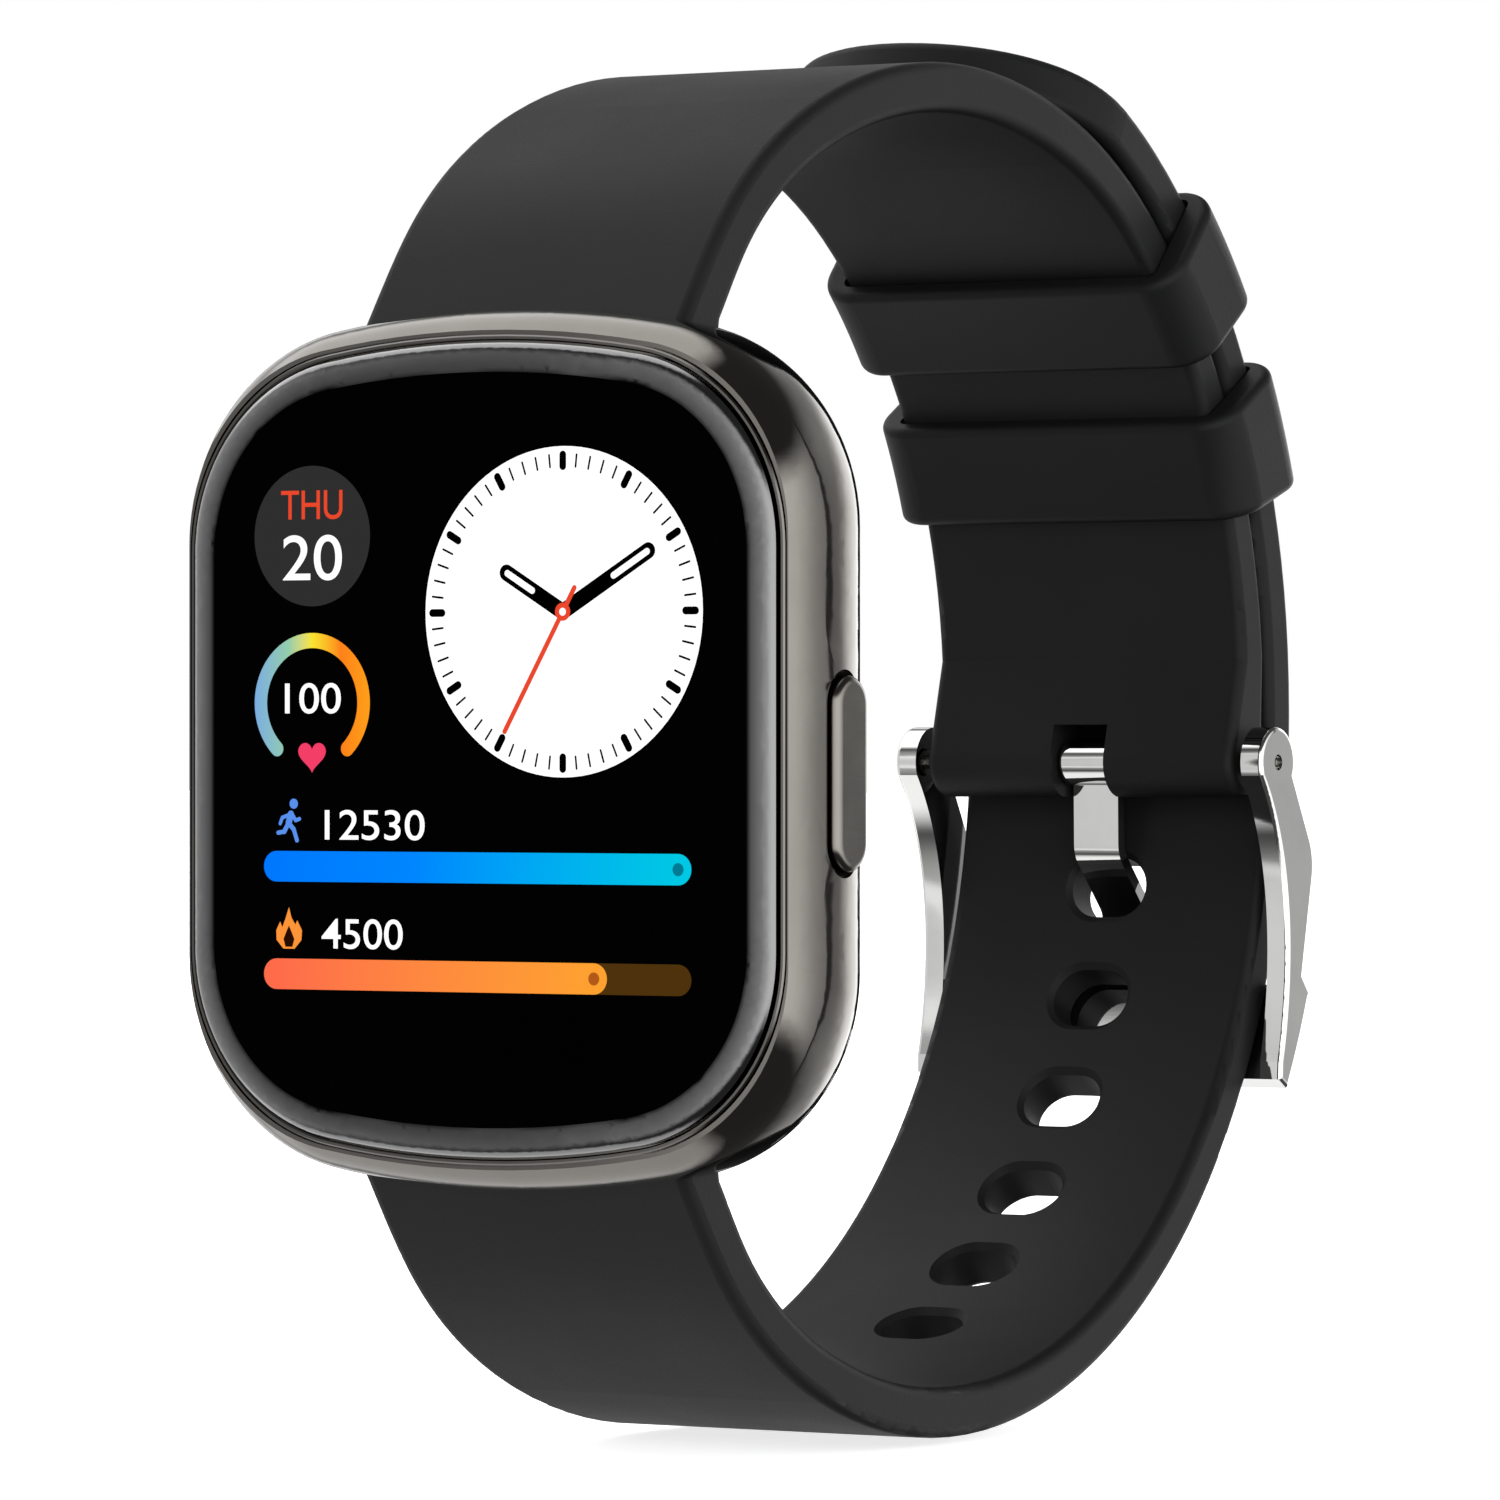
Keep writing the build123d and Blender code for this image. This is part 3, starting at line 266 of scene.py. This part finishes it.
finishes = {
    "gunmetal": polished_metal(
        "gunmetal", GUNMETAL_DARK, GUNMETAL_LIGHT, rough=0.04, grain=0.01, wear=0.02),
    "gunmetal_button": polished_metal(
        "gunmetal_button", GUNMETAL_DARK, GUNMETAL_LIGHT, rough=0.15),
    "polished_steel": polished_metal("polished_steel", RING_DARK, RING_LIGHT, rough=0.06),
    "cover_glass": black_glass(),
    "display": black_panel(),
    "black_seal": moulded("black_seal", (0.002, 0.002, 0.002), (0.004, 0.004, 0.004), rough=0.6),
    "plain_steel": turned_metal("plain_steel", STEEL_DARK, STEEL_LIGHT, rough=0.25),
    "battery_foil": foil(),
    "circuit_board": circuit_board(),
    "shield": turned_metal("shield", (0.45, 0.45, 0.45), (0.6, 0.6, 0.6), rough=0.25),
    "chip": moulded("chip", (0.012, 0.012, 0.013), (0.022, 0.022, 0.023), rough=0.5),
    "flex": moulded("flex", (0.3, 0.12, 0.02), (0.4, 0.17, 0.03), rough=0.35, scale=9000),
    "tungsten": turned_metal("tungsten", (0.2, 0.2, 0.21), (0.3, 0.3, 0.31), rough=0.4),
    "back_plastic": moulded(
        "back_plastic", (0.012, 0.012, 0.013), (0.018, 0.018, 0.019), rough=0.42),
    "sensor_window": smoked_window(),
    "lamp": lamp_resin(),
    "contact_gold": polished_metal("contact_gold", GOLD_DARK, GOLD_LIGHT, rough=0.12),
    "magnet": polished_metal("magnet", (0.5, 0.5, 0.5), (0.62, 0.62, 0.62), rough=0.2),
    "screw_steel": turned_metal("screw_steel", (0.16, 0.16, 0.16), (0.26, 0.26, 0.26), rough=0.3),
    "strap_rubber": silicone("strap_rubber", STRAP_DARK, STRAP_LIGHT),
    "keeper_rubber": silicone("keeper_rubber", KEEPER_DARK, KEEPER_LIGHT, shine=0.48),
    "buckle_chrome": polished_metal(
        "buckle_chrome", CHROME_DARK, CHROME_LIGHT, rough=0.03, grain=0.01, wear=0.02),
    "bar_steel": turned_metal("bar_steel", STEEL_DARK, STEEL_LIGHT, rough=0.2),
}


def dress_frame():
    """Give every CAD node the finish of its record slot."""
    for part in frame["record"]["subparts"]:
        node = frame["nodes"][part["node"]]
        node.data.materials.clear()
        node.data.materials.append(finishes[part["material_slot"]])


# ---------------------------------------------------------------- display picture

# The display is laminated to the glass, so the picture lies on the glass's front, in thin layers.
# Its measures are millimetres on the face, X to three o'clock and Z to twelve o'clock.
FACE_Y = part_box("cover_glass")[0].y / MM
LAYER = 0.004
CIRCLE_STEPS = 96
BAND_STEPS = 72
CAP_STEPS = 16
LETTER_WEIGHT = 0.004


def screen_colour(name, *stops, low=(0, 0), high=(0, 1), glow=1.0):
    """Lit picture colour with fine pixels, blended from stop to stop on the line low to high."""
    n = Nodes(name)
    split = n.add("ShaderNodeSeparateXYZ", {"Vector": n.coordinates}).outputs
    run = Vector(high) - Vector(low)
    share = run / run.length_squared / MM
    along = n.maths("ADD", n.maths("MULTIPLY", split["X"], share.x),
                    n.maths("MULTIPLY", split["Z"], share.y))
    start = Vector(low).dot(run) / run.length_squared
    colour = n.ramp(n.maths("SUBTRACT", along, start), *stops)
    pixels = n.spread(n.cells(26000), 0.97, 1.0, start=0.0, end=0.6)
    lit = n.add("ShaderNodeVectorMath", {0: colour, "Scale": pixels}, operation="SCALE")
    return n.shader(Base_Color=(0, 0, 0, 1), Roughness=1.0, Specular_IOR_Level=0.0,
                    Emission_Color=lit.outputs[0], Emission_Strength=glow)


def even_colour(name, colour, glow=1.0):
    """Lit picture colour that is the same all over the face."""
    return screen_colour(name, (0.0, colour), (1.0, colour), glow=glow)


def layer_y(layer):
    """Y of a layer of the picture; layers count outwards from the glass."""
    return (FACE_Y - layer * LAYER) * MM


def lay(name, mesh, material):
    """Make a mesh a piece of the picture, which moves with the watch."""
    mesh.materials.append(material)
    piece = bpy.data.objects.new(name, mesh)
    bpy.context.scene.collection.objects.link(piece)
    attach(piece, "watch")


def flat(name, outlines, material, layer):
    """Flat shapes on the face, as one piece, from closed outlines of (x, z) points."""
    y = layer_y(layer)
    points = []
    faces = []
    for outline in outlines:
        faces.append(list(range(len(points), len(points) + len(outline))))
        points += [(x * MM, y, z * MM) for x, z in outline]
    mesh = bpy.data.meshes.new(name)
    mesh.from_pydata(points, [], faces)
    lay(name, mesh, material)


def around(centre, radius, start=0.0, end=360.0, count=CIRCLE_STEPS):
    """Points on an arc, degrees from three o'clock, anticlockwise."""
    angles = [math.radians(start + (end - start) * i / count) for i in range(count + 1)]
    return [(centre[0] + radius * math.cos(a), centre[1] + radius * math.sin(a)) for a in angles]


def disc(centre, radius):
    return around(centre, radius)[:-1]


def capsule(start, end, width):
    """Round-ended bar between two points."""
    lean = math.degrees(math.atan2(end[1] - start[1], end[0] - start[0]))
    far = around(end, width / 2, lean - 90, lean + 90, CAP_STEPS)
    near = around(start, width / 2, lean + 90, lean + 270, CAP_STEPS)
    return far + near


def spoke(centre, degrees, inner, outer, width):
    """Round-ended bar that points away from a centre."""
    way = (math.cos(math.radians(degrees)), math.sin(math.radians(degrees)))
    ends = [(centre[0] + way[0] * r, centre[1] + way[1] * r) for r in (inner, outer)]
    return capsule(*ends, width)


def arc_band(centre, radius, width, start, end):
    """Round-ended arc of constant width, as quads and two caps."""
    out = around(centre, radius + width / 2, start, end, BAND_STEPS)
    back = around(centre, radius - width / 2, start, end, BAND_STEPS)
    quads = [[out[i], out[i + 1], back[i + 1], back[i]] for i in range(BAND_STEPS)]
    caps = []
    for angle, turn in ((start, -1), (end, 1)):
        tip = around(centre, radius, angle, angle, 1)[0]
        caps.append(around(tip, width / 2, angle, angle + turn * 180, CAP_STEPS))
    return quads + caps


def words(name, text, centre, material, height, width, layer):
    """Number or day on the face, scaled to the height and width of its ink."""
    curve = bpy.data.curves.new(name, "FONT")
    curve.body = text
    curve.size = 1.0
    curve.offset = LETTER_WEIGHT
    letters = bpy.data.objects.new(name + "_letters", curve)
    bpy.context.scene.collection.objects.link(letters)
    bpy.context.view_layer.update()
    mesh = bpy.data.meshes.new_from_object(letters)
    bpy.data.objects.remove(letters)
    xs = [v.co.x for v in mesh.vertices]
    ys = [v.co.y for v in mesh.vertices]
    grow_x = width / (max(xs) - min(xs))
    grow_z = height / (max(ys) - min(ys))
    mid_x = (max(xs) + min(xs)) / 2
    mid_y = (max(ys) + min(ys)) / 2
    for v in mesh.vertices:
        x = centre[0] + (v.co.x - mid_x) * grow_x
        z = centre[1] + (v.co.y - mid_y) * grow_z
        v.co = (x * MM, layer_y(layer), z * MM)
    mesh.name = name
    mesh.materials.clear()
    lay(name, mesh, material)


DIAL = (5.34, 6.99)
DIAL_RADIUS = 8.38
TICK_START = 7.36
HOUR_TICK_END = 7.95
HOUR_TICK_WIDTH = 0.4
MINUTE_TICK_END = 7.98
MINUTE_TICK_WIDTH = 0.11
# Each hand's direction, in degrees from three o'clock, anticlockwise.
HOUR_HAND = 149.5
MINUTE_HAND = 30.6
SECOND_HAND = 239.8
HAND_WIDTH = 0.84
HAND_SLOT_WIDTH = 0.34
SECOND_HAND_WIDTH = 0.27
HUB_RADIUS = 0.46
HUB_PIN_RADIUS = 0.2


def draw_dial(ink, white, red):
    """Analogue dial with its ticks and three hands."""
    flat("dial_disc", [disc(DIAL, DIAL_RADIUS)], white, layer=1)
    hours = [spoke(DIAL, 30 * i, TICK_START, HOUR_TICK_END, HOUR_TICK_WIDTH) for i in range(12)]
    flat("dial_hour_ticks", hours, ink, layer=2)
    minutes = [spoke(DIAL, 6 * i, TICK_START, MINUTE_TICK_END, MINUTE_TICK_WIDTH)
               for i in range(60) if i % 5]
    flat("dial_minute_ticks", minutes, ink, layer=2)
    hands = [spoke(DIAL, HOUR_HAND, inner=0, outer=3.96, width=HAND_WIDTH),
             spoke(DIAL, MINUTE_HAND, inner=0, outer=5.96, width=HAND_WIDTH)]
    flat("dial_hands", hands, ink, layer=3)
    slots = [spoke(DIAL, HOUR_HAND, inner=2.15, outer=3.9, width=HAND_SLOT_WIDTH),
             spoke(DIAL, MINUTE_HAND, inner=3.55, outer=5.88, width=HAND_SLOT_WIDTH)]
    flat("dial_hand_slots", slots, white, layer=4)
    second = spoke(DIAL, SECOND_HAND, inner=-1.4, outer=7.0, width=SECOND_HAND_WIDTH)
    flat("dial_second_hand", [second], red, layer=5)
    flat("dial_hub", [disc(DIAL, HUB_RADIUS)], red, layer=6)
    flat("dial_hub_pin", [disc(DIAL, HUB_PIN_RADIUS)], white, layer=7)


DATE = (-10.1, 11.02)
DATE_RADIUS = 3.62


def draw_date(grey, red, white):
    """Day and date on a dark disc."""
    flat("date_disc", [disc(DATE, DATE_RADIUS)], grey, layer=1)
    words("date_day", "THU", (DATE[0] - 0.02, 12.62), red, height=1.5, width=3.85, layer=2)
    words("date_number", "20", (DATE[0] + 0.02, 9.9), white, height=2.35, width=3.7, layer=2)


GAUGE = (-10.1, 2.42)
HEART_Z = -0.28
HEART_SCALE = 0.054
HEART_STEPS = 48


def draw_gauge(rainbow, white, pink):
    """Pulse gauge: open ring, number and heart."""
    ring = arc_band(GAUGE, radius=3.22, width=0.78, start=-47, end=227)
    flat("gauge_ring", ring, rainbow, layer=1)
    words("gauge_number", "100", (GAUGE[0] + 0.05, 2.66), white, height=1.58, width=3.5, layer=1)
    heart = []
    for i in range(HEART_STEPS):
        t = 2 * math.pi * i / HEART_STEPS
        x = 16 * math.sin(t) ** 3
        z = 13 * math.cos(t) - 5 * math.cos(2 * t) - 2 * math.cos(3 * t) - math.cos(4 * t)
        heart.append((GAUGE[0] + HEART_SCALE * x, HEART_Z + HEART_SCALE * z))
    flat("gauge_heart", [heart], pink, layer=2)


STEPS_Z = -6.0
ENERGY_Z = -11.55
ENERGY_SHARE = 0.795
BAR_LEFT = -12.33
BAR_RIGHT = 12.25
BAR_WIDTH = 1.58
BAR_DOT_RADIUS = 0.33


def draw_bar(name, z, share, fill, rest, dot):
    """Progress bar filled to a share of its length, with a dot at its end."""
    end = BAR_LEFT + share * (BAR_RIGHT - BAR_LEFT)
    if share < 1:
        flat(name + "_rest", [capsule((BAR_LEFT, z), (BAR_RIGHT, z), BAR_WIDTH)], rest, layer=1)
    flat(name + "_fill", [capsule((BAR_LEFT, z), (end, z), BAR_WIDTH)], fill, layer=2)
    flat(name + "_dot", [disc((end, z), BAR_DOT_RADIUS)], dot, layer=3)


# The runner's limbs: start, end and width of each stroke, from the middle of the figure.
RUNNER = (-11.55, -3.65)
RUNNER_STROKES = (
    ((0.12, 0.34), (-0.02, -0.12), 0.38),
    ((0.16, 0.36), (-0.42, 0.16), 0.2),
    ((-0.42, 0.16), (-0.55, -0.14), 0.2),
    ((0.2, 0.34), (0.42, 0.02), 0.2),
    ((0.42, 0.02), (0.66, 0.1), 0.2),
    ((0.0, -0.14), (0.3, -0.44), 0.26),
    ((0.3, -0.44), (0.5, -1.0), 0.24),
    ((-0.04, -0.14), (-0.3, -0.56), 0.26),
    ((-0.3, -0.56), (-0.68, -0.62), 0.22),
)
RUNNER_HEAD = (0.3, 0.88)
RUNNER_HEAD_RADIUS = 0.26


def draw_runner(blue):
    """Small running figure of round-ended strokes."""
    x, z = RUNNER
    shapes = [capsule((x + a, z + b), (x + c, z + d), w) for (a, b), (c, d), w in RUNNER_STROKES]
    flat("steps_runner", shapes, blue, layer=1)
    head = (x + RUNNER_HEAD[0], z + RUNNER_HEAD[1])
    flat("steps_runner_head", [disc(head, RUNNER_HEAD_RADIUS)], blue, layer=1)


# The flame's outline and its core's, from the middle of the flame.
FLAME = (-11.55, -9.2)
FLAME_OUTLINE = (
    (0.0, 1.1), (0.16, 0.55), (0.4, 0.2), (0.52, 0.42), (0.82, -0.1), (0.78, -0.6), (0.35, -1.05),
    (-0.35, -1.05), (-0.78, -0.6), (-0.8, -0.1), (-0.55, 0.35), (-0.42, 0.05), (-0.22, 0.5),
)
FLAME_CORE = (
    (0.0, 0.15), (0.2, -0.25), (0.34, -0.55), (0.22, -0.95), (-0.22, -0.95), (-0.34, -0.55),
    (-0.18, -0.2),
)


def draw_flame(orange, dark):
    """Small flame with a darker core."""
    x, z = FLAME
    flat("energy_flame", [[(x + a, z + b) for a, b in FLAME_OUTLINE]], orange, layer=1)
    flat("energy_flame_core", [[(x + a, z + b) for a, b in FLAME_CORE]], dark, layer=2)


def draw_screen():
    """The whole lit picture."""
    ink = even_colour("screen_ink", (0.0, 0.0, 0.0))
    white = even_colour("screen_white", (1.0, 1.0, 1.0), glow=1.1)
    red = even_colour("screen_red", (0.83, 0.065, 0.025))
    draw_dial(ink, white, red)
    draw_date(even_colour("screen_grey", (0.028, 0.028, 0.028)), red, white)
    rainbow = screen_colour("screen_rainbow", (0.0, (0.2, 0.42, 0.75)), (0.3, (0.3, 0.62, 0.4)),
                            (0.5, (0.95, 0.78, 0.03)), (0.75, (1.0, 0.22, 0.01)),
                            (1.0, (1.0, 0.35, 0.01)),
                            low=(GAUGE[0] - 3.6, 0), high=(GAUGE[0] + 3.6, 0))
    draw_gauge(rainbow, white, even_colour("screen_pink", (0.9, 0.05, 0.14)))
    ends = dict(low=(BAR_LEFT, 0), high=(BAR_RIGHT, 0))
    blue = screen_colour("screen_blue", (0.0, (0.0, 0.19, 1.0)), (0.35, (0.0, 0.24, 1.0)),
                         (1.0, (0.0, 0.58, 0.78)), **ends)
    amber = screen_colour("screen_amber", (0.0, (1.0, 0.15, 0.07)), (0.8, (1.0, 0.36, 0.03)),
                          **ends)
    dim = even_colour("screen_dim", (0.075, 0.033, 0.004))
    blue_dot = even_colour("screen_blue_dot", (0.0, 0.2, 0.3))
    draw_bar("steps", STEPS_Z, 1.0, blue, dim, blue_dot)
    amber_dot = even_colour("screen_amber_dot", (0.45, 0.1, 0.01))
    draw_bar("energy", ENERGY_Z, ENERGY_SHARE, amber, dim, amber_dot)
    draw_runner(even_colour("screen_pale_blue", (0.1, 0.28, 0.85)))
    orange = even_colour("screen_orange", (1.0, 0.3, 0.04))
    draw_flame(orange, even_colour("screen_flame_core", (0.02, 0.004, 0.0)))
    words("steps_number", "12530", (-6.2, -3.85), white, height=1.55, width=6.2, layer=1)
    words("energy_number", "4500", (-6.98, -9.45), white, height=1.55, width=5.05, layer=1)


# ---------------------------------------------------------------- stage

# The camera: degrees to the right of straight on, metres from the point it looks at, that point,
# and its lens and sensor in millimetres.
VIEW_ANGLE = 32.0
VIEW_DISTANCE = 0.46
AIM = Vector((0.0, 0.0158, 0.0))
LENS = 206.4
SENSOR_WIDTH = 36.0
CLIP_START = 0.01

FLOOR_DROP = 0.4 * MM
FLOOR_HALF = 6.0


def toward(degrees):
    """Level direction round the watch, seen from the camera: 0 at the camera, 90 to its right."""
    angle = math.radians(degrees + VIEW_ANGLE - 90)
    return Vector((math.cos(angle), math.sin(angle), 0.0))


def stage_material():
    """Pale floor, nearly even, that keeps a soft shadow."""
    n = Nodes("floor")
    colour = n.blend(n.noise(2, detail=2), (0.88, 0.88, 0.88), (0.9, 0.9, 0.9))
    return n.shader(Base_Color=colour, Roughness=0.9, Specular_IOR_Level=0.0,
                    Emission_Color=(1, 1, 1, 1), Emission_Strength=0.75)


def add_stage():
    """Pale floor just under the watch, seen by the camera but not by the watch."""
    z = cad_box[0].z - FLOOR_DROP
    signs = ((-1, -1), (1, -1), (1, 1), (-1, 1))
    corners = [(x * FLOOR_HALF, y * FLOOR_HALF, z) for x, y in signs]
    mesh = bpy.data.meshes.new("floor")
    mesh.from_pydata(corners, [], [(0, 1, 2, 3)])
    mesh.materials.append(stage_material())
    floor = bpy.data.objects.new("floor", mesh)
    floor.visible_glossy = False
    floor.visible_diffuse = False
    floor.visible_transmission = False
    bpy.context.scene.collection.objects.link(floor)


# Two wide walls of light stand round the watch. Each has the direction it faces from, its strength
# at its border, how much it gains towards its middle, and the cosine where that gain is full.
WALLS = (
    (toward(25), 0.8, 2.5, 1.0),
    (toward(207), 0.45, 0.6, 0.35),
)
# The cosine by which a wall's border reaches its strength.
WALL_EDGE = 0.012
# The walls' light ends at the first height, above and below, and is full within the second; both
# are sines of the elevation.
BELT = (0.62, 0.34)
# Soft boxes above, below and behind: direction, cosine where each starts, cosine where it is
# full, strength.
BOXES = (
    (Vector((-0.53, 0, 0.848)), 0.76, 0.9, 2.4),
    (Vector((-0.53, 0, -0.848)), 0.76, 0.9, 1.5),
    (toward(147), 0.883, 0.97, 1.7),
)
# One black flag straight behind, which draws the dark outlines: direction, the same two cosines.
FLAG = (toward(182), 0.955, 0.985)
AMBIENT = 0.1


class World:
    """Node tree of the world, with the few steps that its lights share."""

    def __init__(self):
        self.world = bpy.data.worlds.new("studio")
        self.world.use_nodes = True
        self.tree = self.world.node_tree
        self.way = self.tree.nodes.new("ShaderNodeTexCoord").outputs["Generated"]

    def level(self, direction):
        """Cosine of the angle between a direction and the point of the sky that is looked at."""
        dot = self.tree.nodes.new("ShaderNodeVectorMath")
        dot.operation = "DOT_PRODUCT"
        self.tree.links.new(self.way, dot.inputs[0])
        dot.inputs[1].default_value = direction.normalized()
        return dot.outputs["Value"]

    def fade(self, level, start, full, strength, shape="SMOOTHSTEP"):
        """Value that goes from 0 at one level to a strength at another."""
        node = self.tree.nodes.new("ShaderNodeMapRange")
        node.interpolation_type = shape
        self.tree.links.new(level, node.inputs["Value"])
        limits = (("From Min", start), ("From Max", full), ("To Min", 0.0), ("To Max", strength))
        for name, value in limits:
            node.inputs[name].default_value = value
        return node.outputs["Result"]

    def join(self, operation, first, second):
        """Sum, difference or product of two values or outputs."""
        node = self.tree.nodes.new("ShaderNodeMath")
        node.operation = operation
        for socket, value in zip(node.inputs, (first, second)):
            if isinstance(value, bpy.types.NodeSocket):
                self.tree.links.new(value, socket)
            else:
                socket.default_value = value
        return node.outputs[0]

    def wall(self, direction, border, gain, full, belt):
        """Half of the sky, within the belt, brighter towards its middle."""
        level = self.level(direction)
        edge = self.fade(level, 0.0, WALL_EDGE, border)
        middle = self.fade(level, 0.0, full, gain, "LINEAR")
        return self.join("MULTIPLY", self.join("ADD", edge, middle), belt)


def add_studio():
    """World of walls, soft boxes and a flag; the camera itself sees plain white."""
    studio = World()
    height = studio.join("ABSOLUTE", studio.level(Vector((0, 0, 1))), 0.0)
    belt = studio.fade(height, *BELT, 1.0)
    total = AMBIENT
    for place in WALLS:
        total = studio.join("ADD", studio.wall(*place, belt), total)
    for direction, start, full, strength in BOXES:
        box = studio.fade(studio.level(direction), start, full, strength)
        total = studio.join("ADD", box, total)
    direction, start, full = FLAG
    flag = studio.fade(studio.level(direction), start, full, 1.0)
    total = studio.join("MULTIPLY", studio.join("SUBTRACT", 1.0, flag), total)
    seen = studio.tree.nodes.new("ShaderNodeLightPath").outputs["Is Camera Ray"]
    unseen = studio.join("MULTIPLY", total, studio.join("SUBTRACT", 1.0, seen))
    background = studio.tree.nodes["Background"]
    studio.tree.links.new(studio.join("ADD", seen, unseen), background.inputs["Strength"])
    background.inputs["Color"].default_value = (1, 1, 1, 1)
    bpy.context.scene.world = studio.world


def add_camera():
    lens = bpy.data.cameras.new("camera")
    lens.sensor_width = SENSOR_WIDTH
    lens.lens = LENS
    lens.clip_start = CLIP_START
    camera = bpy.data.objects.new("camera", lens)
    camera.location = AIM + toward(0) * VIEW_DISTANCE
    camera.rotation_euler = (AIM - camera.location).to_track_quat("-Z", "Y").to_euler()
    bpy.context.scene.collection.objects.link(camera)
    bpy.context.scene.camera = camera


dress_frame()
draw_screen()
add_stage()
add_studio()
add_camera()
bpy.context.scene.view_settings.view_transform = "Standard"
